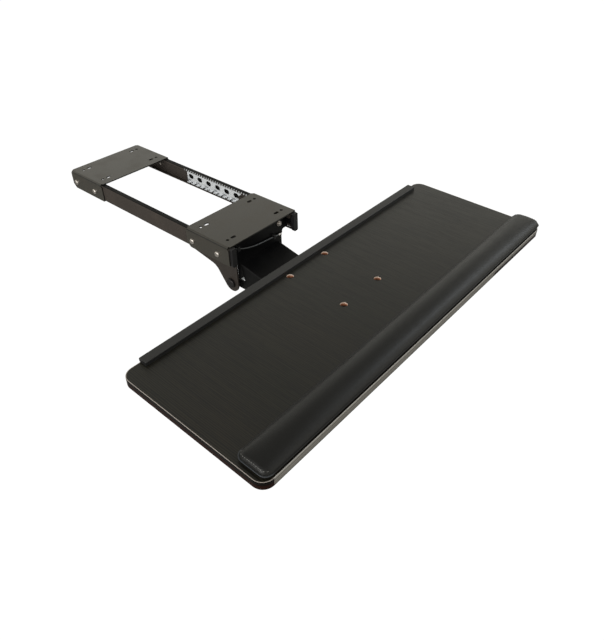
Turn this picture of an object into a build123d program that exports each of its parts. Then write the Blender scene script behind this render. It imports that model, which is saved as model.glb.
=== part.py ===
from build123d import *
import math
import os

# Keyboard tray for the underside of a desk, in millimetres: +X right, +Y rear, +Z up.
# The origin is the centre of the front bracket's top face, which lies against the desk.

# Clearances
running_fit = 0.08
close_fit = 0.1
loose_fit = 0.3
cut_overrun = 2.0

# Desk brackets
bracket_width = 154.0
bracket_depth = 98.0
bracket_height = 33.5
bracket_sheet = 2.0
bracket_bend = 1.2
bracket_pitch = 330.2
bracket_corner = 7.0
bend_relief_depth = 2.2
bend_relief_width = 4.5
desk_hole_radius = 2.75
desk_hole_spacing_x = 121.0
desk_hole_spacing_y = 62.0
desk_slot_spacing_x = 97.0
desk_slot_width = 5.5
desk_slot_length = 10.0

# Outer members of the ball slides
rail_height = 31.0
rail_reach = 10.0
rail_sheet = 1.5
rail_bend = 0.7
rail_lip = 3.0
rail_drop = 0.3

# Screws that hold the slides to the bracket flanges
rail_screw_radius = 2.5
rail_screw_head_radius = 4.8
rail_screw_head_height = 3.0
rail_screw_front = -22.5
rail_screw_rear = 36.0
rail_screw_z = -20.5

# Balls and their cages
ball_radius = 1.75
ball_offset = 12.1
ball_inset = 5.8
ball_pitch = 24.4
ball_count = 11
cage_sheet = 0.8
cage_bend = 0.5
cage_web_inset = 3.0
cage_leg = 5.1
cage_front_y = -43.0
cage_end_margin = 10.5
cage_window_length = 13.0
cage_window_height = 9.0
cage_window_count = 10
cage_window_start_y = -8.2

# Inner members, which carry the carriage
inner_half_height = 10.2
inner_sheet = 1.5
inner_bend = 0.7
inner_leg = 5.6
inner_front_y = -45.2
inner_rear_y = 72.0

# Moulded stops at the slide ends
cap_depth = 5.5
cap_below = 1.5
cap_inset = 0.4
cap_corner = 2.5
plug_depth = 3.5
plug_half_height = 9.0
rear_plug_depth = 7.0

# Carriage arms
arm_sheet = 2.5
arm_bend = 4.0
arm_x = 53.0
wing_gap = 0.2
wing_top_z = -9.0
shelf_z = -29.5
pivot_y = -20.6
pivot_z = -89.4
arm_tip_radius = 15.6
arm_rise_angle = 54.6
arm_knee_y = 13.5
arm_knee_z = -68.5
arm_heel_y = 66.0
arm_heel_z = -58.5
arm_rear_y = 74.0
arm_rear_z = -42.0
arm_knee_radius = 22.0
arm_heel_radius = 8.0
arm_corner_radius = 2.0
tab_reach = 24.0
tab_bottom_z = -24.0

# Rivets between the arms and the inner members
rivet_radius = 2.5
rivet_head_radius = 4.0
rivet_head_height = 1.3
rivet_first_y = -26.0
rivet_pitch = 42.0
rivet_count = 3

# Front cross plate of the carriage, with its bolt
plate_sheet = 2.0
plate_top_z = -6.0
plate_bottom_z = -36.5
apron_bottom_z = -76.0
plate_side_gap = 0.5
plate_corner_radius = 3.0
plate_bolt_x = 45.5
plate_bolt_z = -15.7
plate_bolt_radius = 2.0
plate_bolt_ring_radius = 4.5
plate_bolt_ring = 1.2
plate_bolt_head_radius = 3.5
plate_bolt_head = 2.8
plate_nut_across = 7.0
plate_nut_height = 3.5

# Release cable along the cross plate: the ends and turns of its two arcs in X and Z, then its clips
cable_radius = 1.25
cable_stand_off = 1.3
cable_route = [(-62.0, -11.0), (-33.5, -24.1), (0.0, -30.9), (46.0, -34.9)]
clip_place_shares = (0.13, 0.86)
clip_width = 5.0
clip_wall = 1.2
clip_height = 8.0
clip_corner = 0.8
ferrule_radius = 2.1
ferrule_grip = 7.0
ferrule_end = 1.4

# Lift axle with its nut and spacers
axle_radius = 4.0
lift_head_radius = 8.5
lift_head_height = 4.5
lift_nut_across = 13.0
lift_nut_height = 7.5
lift_axle_stub = 1.5
spacer_radius = 8.0

# Lift link, a tapered channel
link_half_width = 45.2
link_sheet = 2.5
link_bend = 1.5
link_rear_y = -38.8
link_rear_z = -48.5
link_slope = 12.3
link_notch_y = -45.0
link_pivot_boss = 8.0
link_front_boss = 10.0
link_notch_radius = 3.0
tube_wall = 2.9

# Tray: the rear edge of the board's top face, and the tilt in the photographed pose
tray_rear_y = -124.7
tray_rear_z = -24.2
tray_tilt = 1.6
board_width = 660.0
board_depth = 240.0
board_corner = 16.0
core_thickness = 10.8
laminate = 0.8
edge_band = 1.0
edge_round = 0.5
band_joint = 0.2

# Tray screws in counterbores
tray_hole_centre_x = -5.0
tray_hole_spacing_x = 80.0
tray_hole_front_v = -120.0
tray_hole_rear_v = -20.0
counterbore_radius = 5.5
counterbore_depth = 8.4
tray_screw_radius = 2.5
tray_screw_head_radius = 4.6
tray_screw_head = 3.2
tray_nut_across = 8.0
tray_nut_height = 4.0
tray_screw_stub = 1.0

# Plate under the board, and the yoke that hangs from it
tray_plate_width = 120.0
tray_plate_sheet = 3.0
tray_plate_rear_v = -8.0
tray_plate_front_v = -136.0
tray_plate_corner = 8.0
yoke_sheet = 2.5
yoke_bend = 1.5
yoke_rear_v = -28.5
yoke_front_v = -66.0
yoke_shoulder = 8.0
tilt_axle_v = -39.0
tilt_axle_w = -60.7
tilt_boss_radius = 10.0
tilt_head_radius = 8.0
tilt_head_height = 4.5
tilt_washer = 1.0
tilt_washer_radius = 9.0

# Stop bar along the rear of the board
stop_bar_end_margin = 30.0
stop_bar_depth = 14.0
stop_bar_height = 6.0
stop_bar_overhang = 1.5
stop_bar_round = 0.8
stop_screw_end_margin = 30.0
stop_screw_count = 4
stop_screw_radius = 1.5
stop_screw_head_radius = 3.2
stop_screw_bite = 5.0

# Palm rest: base, pad, and the screws from below
palm_end_margin = 2.5
palm_depth = 49.0
palm_overhang = 0.5
palm_base_height = 4.0
palm_base_inset = 5.0
palm_base_corner = 8.0
palm_pad_height = 12.0
palm_height_shares = (0.0, 0.2, 0.55, 0.86, 1.0)
palm_draw_in_shares = (0.1, 0.0, 0.04, 0.26, 0.62)
palm_corner_shares = (0.2, 0.24, 0.24, 0.2, 0.18)
palm_screw_end_margin = 42.0
palm_screw_count = 4
palm_screw_radius = 1.75
palm_screw_head_radius = 3.6
palm_screw_bite = 3.0
small_head_height = 2.2

# Roundings, as shares of the height or radius that they ease
full_dome_share = 0.8
half_dome_share = 0.5
socket_share = 1.2
socket_floor_share = 0.4


def side_plane(x):
    """Plane across X: local x runs along Y, local y along Z."""
    return Plane(origin=(x, 0, 0), x_dir=(0, 1, 0), z_dir=(1, 0, 0))


def front_plane(y):
    """Plane across Y: local x runs along X, local y along Z, and it faces the front."""
    return Plane(origin=(0, y, 0), x_dir=(1, 0, 0), z_dir=(0, -1, 0))


def along_x(face, start, end):
    """Solid of a Y-Z face between two places on X."""
    return extrude(side_plane(start) * face, amount=end - start, dir=(1, 0, 0))


def along_y(face, start, end):
    """Solid of an X-Z face between two places on Y."""
    return extrude(front_plane(start) * face, amount=end - start, dir=(0, 1, 0))


def along_z(face, start, end):
    """Solid of an X-Y face between two heights."""
    return extrude(Pos(0, 0, start) * face, amount=end - start, dir=(0, 0, 1))


def block(x_range, y_range, z_range):
    """Box between two places on each axis."""
    centres = [(low + high) / 2 for low, high in (x_range, y_range, z_range)]
    sizes = [high - low for low, high in (x_range, y_range, z_range)]
    return Pos(*centres) * Box(*sizes)


def disc(centre, radius):
    """Round face in the local plane."""
    return Pos(*centre) * Circle(radius)


def outline(points, radii):
    """Face inside a closed path with rounded corners."""
    return make_face(FilletPolyline(*points, radius=radii, close=True).edges())


def unit(start, end):
    """Direction from one point to the next."""
    return (Vector(*end) - Vector(*start)).normalized()


def directions_at(points, index):
    """Directions of an open path before and after one of its points."""
    before = max(index, 1)
    after = min(index, len(points) - 2)
    return unit(points[before - 1], points[before]), unit(points[after], points[after + 1])


def sheet(points, thickness, bend):
    """Section of a bent sheet that lies to the left of an open path."""
    far = []
    near_radii = []
    far_radii = []
    for index, point in enumerate(points):
        before, after = directions_at(points, index)
        left = Vector(-before.Y, before.X) + Vector(-after.Y, after.X)
        shift = left * (thickness / (1 + before.dot(after)))
        far.append((point[0] + shift.X, point[1] + shift.Y))
        if 0 < index < len(points) - 1:
            turns_left = before.X * after.Y - before.Y * after.X > 0
            near_radii.append(bend + thickness if turns_left else bend)
            far_radii.append(bend if turns_left else bend + thickness)
    near_side = FilletPolyline(*points, radius=near_radii)
    far_side = FilletPolyline(*far, radius=far_radii)
    ends = [Line(points[0], far[0]), Line(points[-1], far[-1])]
    return make_face(near_side.edges() + far_side.edges() + [end.edge() for end in ends])


def rod_x(start, end, y, z, radius):
    """Round bar along X."""
    return along_x(disc((y, z), radius), start, end)


def rod_y(start, end, x, z, radius):
    """Round bar along Y."""
    return along_y(disc((x, z), radius), start, end)


def rod_z(start, end, x, y, radius):
    """Round bar along Z."""
    return along_z(disc((x, y), radius), start, end)


def hexagon(across):
    """Hexagon of a nut, by its width across the flats."""
    return RegularPolygon(across / 2, 6, major_radius=False)


def domed(head, face_picker, amount):
    """Head with its free rim rounded over."""
    rim = face_picker(head).edges().filter_by(GeomType.CIRCLE)
    return fillet(rim, amount)


def mirrored(shape):
    """Left-hand twin of a right-hand piece."""
    return mirror(shape, about=Plane.YZ)


def group(shapes):
    """Like pieces that share one node, each still a solid of its own."""
    solids = []
    for shape in shapes:
        solids.extend(shape.solids())
    return Compound(children=solids)


def save(name, shape):
    """Write one sub-part."""
    export_step(shape, f"parts/{name}.step")


# Places that several pieces share
bracket_half_depth = bracket_depth / 2
rail_front_y = -bracket_half_depth
rail_rear_y = bracket_pitch + bracket_half_depth
rail_outer_x = bracket_width / 2 - bracket_sheet
rail_inner_x = rail_outer_x - rail_reach
rail_top_z = -bracket_sheet - rail_drop
rail_bottom_z = rail_top_z - rail_height
rail_mid_z = (rail_top_z + rail_bottom_z) / 2
wing_outer_x = rail_inner_x - wing_gap
arm_front_y = pivot_y - arm_tip_radius
plate_front_y = arm_front_y - plate_sheet
ball_x = rail_outer_x - ball_inset
board_thickness = core_thickness + laminate + laminate
board_bottom_w = -board_thickness
tray_plate_bottom_w = board_bottom_w - tray_plate_sheet
ear_inner_x = link_half_width + tilt_washer + 2 * close_fit
ear_outer_x = ear_inner_x + yoke_sheet
tilt_radians = math.radians(tray_tilt)
tray_plane = Plane(
    origin=(0, tray_rear_y, tray_rear_z),
    x_dir=(1, 0, 0),
    z_dir=(0, -math.sin(tilt_radians), math.cos(tilt_radians)),
)
tilt_axle = tray_plane.from_local_coords(Vector(0, tilt_axle_v, tilt_axle_w))


def desk_bracket(centre_y):
    """Folded channel that is screwed up into the desk."""
    half = bracket_width / 2
    path = [(half, -bracket_height), (half, 0), (-half, 0), (-half, -bracket_height)]
    front, rear = centre_y - bracket_half_depth, centre_y + bracket_half_depth
    body = along_y(sheet(path, bracket_sheet, bracket_bend), front, rear)
    side = outline(
        [
            (front, cut_overrun),
            (front, -bracket_height),
            (rear - bracket_corner, -bracket_height),
            (rear, bracket_corner - bracket_height),
            (rear, cut_overrun),
        ],
        [0, arm_corner_radius, arm_corner_radius, arm_corner_radius, 0],
    )
    body = body & along_x(side, -bracket_width, bracket_width)
    for side_sign in (-1, 1):
        inner, outer = sorted((side_sign * (half - bend_relief_width), side_sign * (half + cut_overrun)))
        for end_y, out in ((front, -1), (rear, 1)):
            near, far = sorted((end_y - out * bend_relief_depth, end_y + out * cut_overrun))
            body -= block((inner, outer), (near, far), (-bend_relief_width, cut_overrun))
        for y in (rail_screw_front, rail_screw_rear):
            wall = sorted((side_sign * (half + cut_overrun), side_sign * (rail_outer_x - cut_overrun)))
            body -= rod_x(*wall, centre_y + y, rail_screw_z, rail_screw_radius + close_fit)
    for x_sign in (-1, 1):
        for y_sign in (-1, 1):
            y = centre_y + y_sign * desk_hole_spacing_y / 2
            hole_x = x_sign * desk_hole_spacing_x / 2
            slot_x = x_sign * desk_slot_spacing_x / 2
            slot = Pos(slot_x, y) * SlotOverall(desk_slot_length, desk_slot_width)
            body -= rod_z(-bracket_sheet - cut_overrun, cut_overrun, hole_x, y, desk_hole_radius)
            body -= along_z(slot, -bracket_sheet - cut_overrun, cut_overrun)
    return body


def screw_places():
    """Places along Y of the screws through the bracket flanges."""
    return [centre + y for centre in (0, bracket_pitch) for y in (rail_screw_front, rail_screw_rear)]


def outer_rail():
    """Right-hand outer member, a lipped channel that opens inwards."""
    path = [
        (rail_inner_x, rail_bottom_z + rail_lip),
        (rail_inner_x, rail_bottom_z),
        (rail_outer_x, rail_bottom_z),
        (rail_outer_x, rail_top_z),
        (rail_inner_x, rail_top_z),
        (rail_inner_x, rail_top_z - rail_lip),
    ]
    rail = along_y(sheet(path, rail_sheet, rail_bend), rail_front_y, rail_rear_y)
    for y in screw_places():
        start, end = rail_outer_x - rail_sheet - cut_overrun, rail_outer_x + cut_overrun
        rail -= rod_x(start, end, y, rail_screw_z, rail_screw_radius + close_fit)
    return rail


def rail_screws():
    """Dome-headed screws through both flanges of both brackets."""
    screws = []
    seat = bracket_width / 2
    for y in screw_places():
        head = rod_x(seat, seat + rail_screw_head_height, y, rail_screw_z, rail_screw_head_radius)
        head = domed(head, lambda s: s.faces().sort_by(Axis.X)[-1], rail_screw_head_height * full_dome_share)
        shank = rod_x(rail_outer_x - rail_sheet, seat, y, rail_screw_z, rail_screw_radius)
        screws.append(head + shank)
    return group(screws + [mirrored(screw) for screw in screws])


def front_cap():
    """Right-hand moulded stop on the front end of the slide."""
    inner, outer = rail_inner_x + cap_inset, rail_outer_x - cap_inset
    top, bottom = rail_top_z + close_fit, rail_bottom_z - cap_below
    face = outline(
        [(inner, top), (outer, top), (outer, bottom), (inner, bottom)],
        [cap_corner, arm_corner_radius, cap_corner, cap_corner],
    )
    cap = along_y(face, rail_front_y - cap_depth, rail_front_y)
    plug_inner = rail_inner_x + rail_sheet + close_fit
    plug_outer = rail_outer_x - rail_sheet - close_fit
    plug_z = (rail_mid_z - plug_half_height, rail_mid_z + plug_half_height)
    cap += block((plug_inner, plug_outer), (rail_front_y - cut_overrun, rail_front_y + plug_depth), plug_z)
    return cap


def rear_plug():
    """Right-hand moulded stop inside the rear end of the slide."""
    inner = rail_inner_x + rail_sheet + close_fit
    outer = rail_outer_x - rail_sheet - close_fit
    half = rail_height / 2 - rail_sheet - close_fit
    face = outline(
        [
            (inner, rail_mid_z - half),
            (outer, rail_mid_z - half),
            (outer, rail_mid_z + half),
            (inner, rail_mid_z + half),
        ],
        [rail_bend, rail_bend + close_fit, rail_bend + close_fit, rail_bend],
    )
    return along_y(face, rail_rear_y - rear_plug_depth, rail_rear_y)


def ball_places():
    """Places along Y of the balls in each row."""
    return [cage_front_y + cage_end_margin + index * ball_pitch for index in range(ball_count)]


def ball_cage():
    """Right-hand strip that keeps the balls apart."""
    web_x = rail_outer_x - cage_web_inset
    leg_x = web_x - cage_leg
    half = ball_offset + cage_sheet / 2
    path = [
        (leg_x, rail_mid_z - half),
        (web_x, rail_mid_z - half),
        (web_x, rail_mid_z + half),
        (leg_x, rail_mid_z + half),
    ]
    rear_y = ball_places()[-1] + cage_end_margin
    cage = along_y(sheet(path, cage_sheet, cage_bend), cage_front_y, rear_y)
    pockets = []
    for y in ball_places():
        for sign in (-1, 1):
            middle = rail_mid_z + sign * ball_offset
            pockets.append(rod_z(middle - cage_sheet, middle + cage_sheet, ball_x, y, ball_radius + close_fit))
    for index in range(cage_window_count):
        window = Pos(cage_window_start_y + index * ball_pitch, rail_mid_z) * SlotOverall(
            cage_window_length, cage_window_height
        )
        pockets.append(along_x(window, web_x - cage_sheet - cut_overrun, web_x + cage_sheet))
    return cage - pockets


def cage_balls():
    """Right-hand balls, in an upper and a lower row."""
    places = [(y, rail_mid_z + sign * ball_offset) for y in ball_places() for sign in (-1, 1)]
    return group([Pos(ball_x, y, z) * Sphere(ball_radius) for y, z in places])


def rivet_places():
    """Places along Y of the rivets in each arm."""
    return [rivet_first_y + index * rivet_pitch for index in range(rivet_count)]


def inner_rail():
    """Right-hand inner member, a short channel that opens outwards."""
    leg_x = rail_inner_x + inner_leg
    path = [
        (leg_x, rail_mid_z + inner_half_height),
        (rail_inner_x, rail_mid_z + inner_half_height),
        (rail_inner_x, rail_mid_z - inner_half_height),
        (leg_x, rail_mid_z - inner_half_height),
    ]
    member = along_y(sheet(path, inner_sheet, inner_bend), inner_front_y, inner_rear_y)
    for y in rivet_places():
        start, end = rail_inner_x - cut_overrun, rail_inner_x + inner_sheet + cut_overrun
        member -= rod_x(start, end, y, rail_mid_z, rivet_radius + close_fit)
    return member


def slide_rivets():
    """Rivets that join the arms to the inner members."""
    rivets = []
    inside = wing_outer_x - arm_sheet
    outside = rail_inner_x + inner_sheet
    for y in rivet_places():
        shank = rod_x(inside, outside, y, rail_mid_z, rivet_radius)
        inner_head = rod_x(inside - rivet_head_height, inside, y, rail_mid_z, rivet_head_radius)
        outer_head = rod_x(outside, outside + rivet_head_height, y, rail_mid_z, rivet_head_radius)
        rivets.append(inner_head + shank + outer_head)
    return group(rivets + [mirrored(rivet) for rivet in rivets])


def arm():
    """Right-hand arm: a wing on the slide, a shelf, and a plate down to the pivot."""
    path = [
        (arm_x, pivot_z - arm_tip_radius - cut_overrun),
        (arm_x, shelf_z),
        (wing_outer_x, shelf_z),
        (wing_outer_x, wing_top_z),
    ]
    folded = along_y(sheet(path, arm_sheet, arm_bend), arm_front_y, arm_rear_y)
    angle = math.radians(arm_rise_angle)
    tangent = (
        pivot_y + arm_tip_radius * math.sin(angle),
        pivot_z - arm_tip_radius * math.cos(angle),
    )
    side = outline(
        [
            (arm_front_y, wing_top_z),
            (arm_front_y, pivot_z),
            tangent,
            (arm_knee_y, arm_knee_z),
            (arm_heel_y, arm_heel_z),
            (arm_rear_y, arm_rear_z),
            (arm_rear_y, wing_top_z),
        ],
        [0, 0, 0, arm_knee_radius, arm_heel_radius, arm_heel_radius, arm_corner_radius],
    )
    side += disc((pivot_y, pivot_z), arm_tip_radius)
    plate = folded & along_x(side, 0, rail_outer_x)
    tab_x = (wing_outer_x - arm_sheet - tab_reach, wing_outer_x - arm_sheet + cut_overrun / 2)
    plate += block(tab_x, (arm_front_y, arm_front_y + arm_sheet), (tab_bottom_z, wing_top_z))
    plate -= rod_x(0, rail_outer_x, pivot_y, pivot_z, axle_radius + running_fit)
    for y in rivet_places():
        start, end = wing_outer_x - arm_sheet - cut_overrun, wing_outer_x + cut_overrun
        plate -= rod_x(start, end, y, rail_mid_z, rivet_radius + close_fit)
    return plate


def plate_bolt_hole():
    """Hole for the bolt, long enough for the cross plate and the arm's tab."""
    start, end = plate_front_y - cut_overrun, arm_front_y + arm_sheet + cut_overrun
    return rod_y(start, end, plate_bolt_x, plate_bolt_z, plate_bolt_radius + close_fit)


def cross_plate():
    """Plate across the front of the carriage, with an apron down its middle."""
    wide = wing_outer_x - plate_side_gap
    between_arms = arm_x - arm_sheet - close_fit
    right_side = [
        (wide, plate_top_z, plate_corner_radius),
        (wide, shelf_z, plate_corner_radius),
        (arm_x, shelf_z, arm_bend),
        (arm_x, plate_bottom_z, 0),
        (between_arms, plate_bottom_z, 0),
        (between_arms, apron_bottom_z, plate_corner_radius),
    ]
    left_side = [(-x, z, radius) for x, z, radius in reversed(right_side)]
    points = [(x, z) for x, z, radius in right_side + left_side]
    radii = [radius for x, z, radius in right_side + left_side]
    return along_y(outline(points, radii), plate_front_y, arm_front_y) - plate_bolt_hole()


def plate_bolt():
    """Bolt with a collar under its head, through the cross plate."""
    collar_y = plate_front_y - plate_bolt_ring
    head_y = collar_y - plate_bolt_head
    end_y = arm_front_y + arm_sheet + plate_nut_height + lift_axle_stub
    head = rod_y(head_y, collar_y, plate_bolt_x, plate_bolt_z, plate_bolt_head_radius)
    head = domed(head, lambda s: s.faces().sort_by(Axis.Y)[0], plate_bolt_head * half_dome_share)
    collar = rod_y(collar_y, plate_front_y, plate_bolt_x, plate_bolt_z, plate_bolt_ring_radius)
    return head + collar + rod_y(plate_front_y, end_y, plate_bolt_x, plate_bolt_z, plate_bolt_radius)


def plate_nut():
    """Nut behind the arm's tab."""
    start = arm_front_y + arm_sheet
    face = Pos(plate_bolt_x, plate_bolt_z) * hexagon(plate_nut_across)
    face -= disc((plate_bolt_x, plate_bolt_z), plate_bolt_radius + running_fit)
    return along_y(face, start, start + plate_nut_height)


def cable_path():
    """Route of the release cable in front of the cross plate."""
    y = plate_front_y - cable_stand_off - cable_radius
    left_end, turn, middle, right_end = [(x, y, z) for x, z in cable_route]
    left_arc = ThreePointArc(left_end, turn, middle)
    return Wire([left_arc.edge(), TangentArc(middle, right_end, tangent=left_arc % 1).edge()])


def cable_tube(radius):
    """Round bar along the cable's route."""
    path = cable_path()
    return sweep(Plane(origin=path @ 0, z_dir=path % 0) * Circle(radius), path=path)


def cable_clips():
    """Moulded clips that hold the cable on the cross plate."""
    path = cable_path()
    clips = []
    for share in clip_place_shares:
        at = path @ share
        x_range = (at.X - clip_width / 2, at.X + clip_width / 2)
        y_range = (at.Y - cable_radius - clip_wall, plate_front_y)
        clip = block(x_range, y_range, (at.Z - clip_height / 2, at.Z + clip_height / 2))
        clip = fillet(clip.faces().sort_by(Axis.Y)[0].edges(), clip_corner)
        bore = Plane(origin=at, z_dir=path % share) * Cylinder(cable_radius + close_fit, clip_width + 2 * clip_height)
        clips.append(clip - bore)
    return group(clips)


def cable_ferrules():
    """Crimped sleeves that close the two ends of the cable."""
    path = cable_path()
    bore = cable_tube(cable_radius + running_fit)
    ferrules = []
    for place, inward in ((0, 1), (1, -1)):
        end = Plane(origin=path @ place, z_dir=path % place * inward)
        sleeve = extrude(end.offset(-ferrule_end) * Circle(ferrule_radius), amount=ferrule_grip)
        ferrules.append(sleeve - bore)
    return group(ferrules)


def lift_bolt():
    """Axle through both arms and the link, with a round head on the left."""
    head = rod_x(-arm_x - lift_head_height, -arm_x, pivot_y, pivot_z, lift_head_radius)
    head = domed(head, lambda s: s.faces().sort_by(Axis.X)[0], lift_head_height * half_dome_share)
    end = arm_x + lift_nut_height + lift_axle_stub
    return head + rod_x(-arm_x, end, pivot_y, pivot_z, axle_radius)


def axle_nut(seat_x, y, z):
    """Lock nut on an axle, outside the seat."""
    face = Pos(y, z) * hexagon(lift_nut_across)
    face -= disc((y, z), axle_radius + running_fit)
    return along_x(face, seat_x, seat_x + lift_nut_height)


def ring_x(start, end, y, z, radius):
    """Spacer or tube on an axle."""
    face = disc((y, z), radius) - disc((y, z), axle_radius + running_fit)
    return along_x(face, start, end)


def lift_spacers():
    """Spacers between the arms and the link."""
    start, end = link_half_width + close_fit, arm_x - arm_sheet - close_fit
    spacer = ring_x(start, end, pivot_y, pivot_z, spacer_radius)
    return group([spacer, mirrored(spacer)])


def link_tube(y, z):
    """Tube on an axle between the link's flanges."""
    reach = link_half_width - link_sheet - close_fit
    return ring_x(-reach, reach, y, z, axle_radius + tube_wall)


def link_top_z(y):
    """Height of the link's web, which slopes down to the front."""
    return link_rear_z + (y - link_rear_y) * math.tan(math.radians(link_slope))


def lift_link():
    """Tapered channel from the carriage pivot to the tilt axle."""
    depth = link_rear_z - pivot_z + link_pivot_boss + link_front_boss
    back_y = pivot_y + link_pivot_boss + link_front_boss
    slope = math.radians(link_slope)
    across = Plane(
        origin=(0, back_y, link_top_z(back_y)),
        x_dir=(1, 0, 0),
        z_dir=(0, -math.cos(slope), -math.sin(slope)),
    )
    path = [
        (link_half_width, -depth),
        (link_half_width, 0),
        (-link_half_width, 0),
        (-link_half_width, -depth),
    ]
    length = (back_y - tilt_axle.Y + link_front_boss + cut_overrun) / math.cos(slope)
    channel = extrude(across * sheet(path, link_sheet, link_bend), amount=length)
    front_y = tilt_axle.Y - link_front_boss
    notch_z = pivot_z + link_pivot_boss
    side = outline(
        [
            (link_rear_y, link_top_z(link_rear_y) + cut_overrun),
            (link_notch_y, notch_z),
            (pivot_y, notch_z),
            (pivot_y, pivot_z - link_pivot_boss),
            (tilt_axle.Y, tilt_axle.Z - link_front_boss),
            (front_y, tilt_axle.Z),
            (front_y, link_top_z(front_y) + cut_overrun),
        ],
        [0, link_notch_radius, 0, 0, 0, 0, 0],
    )
    side += disc((pivot_y, pivot_z), link_pivot_boss)
    side += disc((tilt_axle.Y, tilt_axle.Z), link_front_boss)
    link = channel & along_x(side, -arm_x, arm_x)
    for centre in ((pivot_y, pivot_z), (tilt_axle.Y, tilt_axle.Z)):
        link -= rod_x(-arm_x, arm_x, *centre, axle_radius + running_fit)
    return link


def tray_hole_places():
    """Places of the tray screws on the board, as x and v."""
    half = tray_hole_spacing_x / 2
    return [
        (tray_hole_centre_x + sign * half, v)
        for sign in (-1, 1)
        for v in (tray_hole_rear_v, tray_hole_front_v)
    ]


def row(length, end_margin, count):
    """Evenly spaced places between the end margins of a length about the middle."""
    first = end_margin - length / 2
    return [first - 2 * first * index / (count - 1) for index in range(count)]


stop_bar_length = board_width - 2 * stop_bar_end_margin
stop_bar_v = stop_bar_overhang - stop_bar_depth / 2
stop_screw_places = row(stop_bar_length, stop_screw_end_margin, stop_screw_count)
palm_length = board_width - 2 * palm_end_margin
palm_v = palm_depth / 2 - board_depth - palm_overhang
palm_screw_places = row(palm_length, palm_screw_end_margin, palm_screw_count)


def small_screw_holes(top_w):
    """Clearance holes for the stop bar's and the palm rest's screws."""
    start = board_bottom_w - cut_overrun
    holes = [
        rod_z(start, top_w, x, stop_bar_v, stop_screw_radius + close_fit)
        for x in stop_screw_places
    ]
    holes += [
        rod_z(start, top_w, x, palm_v, palm_screw_radius + close_fit)
        for x in palm_screw_places
    ]
    return holes


def board_face(inset):
    """Rounded outline of the board, drawn in by an inset."""
    middle = Pos(0, -board_depth / 2)
    return middle * RectangleRounded(
        board_width - 2 * inset, board_depth - 2 * inset, board_corner - inset
    )


def board_layer(low_w, high_w):
    """One layer of the board with every hole through it."""
    layer = along_z(board_face(edge_band), low_w, high_w)
    for x, v in tray_hole_places():
        layer -= rod_z(board_bottom_w - cut_overrun, cut_overrun, x, v, tray_screw_radius + close_fit)
        layer -= rod_z(-counterbore_depth, cut_overrun, x, v, counterbore_radius)
    return layer - small_screw_holes(cut_overrun)


def edge_ring():
    """Whole edge band with its outer arrises eased."""
    ring = along_z(board_face(0), board_bottom_w, 0)
    rims = ring.faces().sort_by(Axis.Z)
    ring = fillet(rims[0].edges() + rims[-1].edges(), edge_round)
    return ring - along_z(board_face(edge_band), board_bottom_w - cut_overrun, cut_overrun)


def front_span(half_length):
    """Space that holds the straight front of the edge band."""
    v_range = (-board_depth - cut_overrun, -board_depth + edge_band + cut_overrun)
    return block((-half_length, half_length), v_range, (board_bottom_w - cut_overrun, cut_overrun))


def tray_screws():
    """Screws with round heads, sunk in the board's counterbores."""
    screws = []
    end = tray_plate_bottom_w - tray_nut_height - tray_screw_stub
    for x, v in tray_hole_places():
        head = rod_z(-counterbore_depth, tray_screw_head - counterbore_depth, x, v, tray_screw_head_radius)
        head = domed(head, lambda s: s.faces().sort_by(Axis.Z)[-1], tray_screw_head * half_dome_share)
        socket = Pos(x, v) * hexagon(tray_screw_radius * socket_share)
        head -= along_z(socket, tray_screw_head * socket_floor_share - counterbore_depth, 0)
        screws.append(head + rod_z(end, -counterbore_depth, x, v, tray_screw_radius))
    return group(screws)


def tray_nuts():
    """Nuts under the plate."""
    nuts = []
    for x, v in tray_hole_places():
        face = Pos(x, v) * hexagon(tray_nut_across)
        face -= disc((x, v), tray_screw_radius + running_fit)
        nuts.append(along_z(face, tray_plate_bottom_w - tray_nut_height, tray_plate_bottom_w))
    return group(nuts)


def tray_plate():
    """Flat plate that the board is screwed to."""
    depth = tray_plate_rear_v - tray_plate_front_v
    middle = Pos(0, (tray_plate_rear_v + tray_plate_front_v) / 2)
    face = middle * RectangleRounded(tray_plate_width, depth, tray_plate_corner)
    plate = along_z(face, tray_plate_bottom_w, board_bottom_w)
    for x, v in tray_hole_places():
        start, end = tray_plate_bottom_w - cut_overrun, board_bottom_w + cut_overrun
        plate -= rod_z(start, end, x, v, tray_screw_radius + close_fit)
    return plate


def tilt_yoke():
    """Folded yoke whose ears hang down to the tilt axle."""
    deep = tilt_axle_w - tilt_boss_radius - cut_overrun
    path = [
        (ear_outer_x, deep),
        (ear_outer_x, tray_plate_bottom_w),
        (-ear_outer_x, tray_plate_bottom_w),
        (-ear_outer_x, deep),
    ]
    folded = along_y(sheet(path, yoke_sheet, yoke_bend), yoke_front_v, yoke_rear_v)
    shoulder_w = tray_plate_bottom_w - yoke_shoulder
    side = outline(
        [
            (yoke_rear_v, tray_plate_bottom_w + cut_overrun),
            (yoke_rear_v, shoulder_w),
            (tilt_axle_v + tilt_boss_radius, tilt_axle_w),
            (tilt_axle_v - tilt_boss_radius, tilt_axle_w),
            (yoke_front_v, shoulder_w),
            (yoke_front_v, tray_plate_bottom_w + cut_overrun),
        ],
        [0, 0, 0, 0, arm_heel_radius, 0],
    )
    side += disc((tilt_axle_v, tilt_axle_w), tilt_boss_radius)
    yoke = folded & along_x(side, -arm_x, arm_x)
    return yoke - rod_x(-arm_x, arm_x, tilt_axle_v, tilt_axle_w, axle_radius + running_fit)


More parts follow.
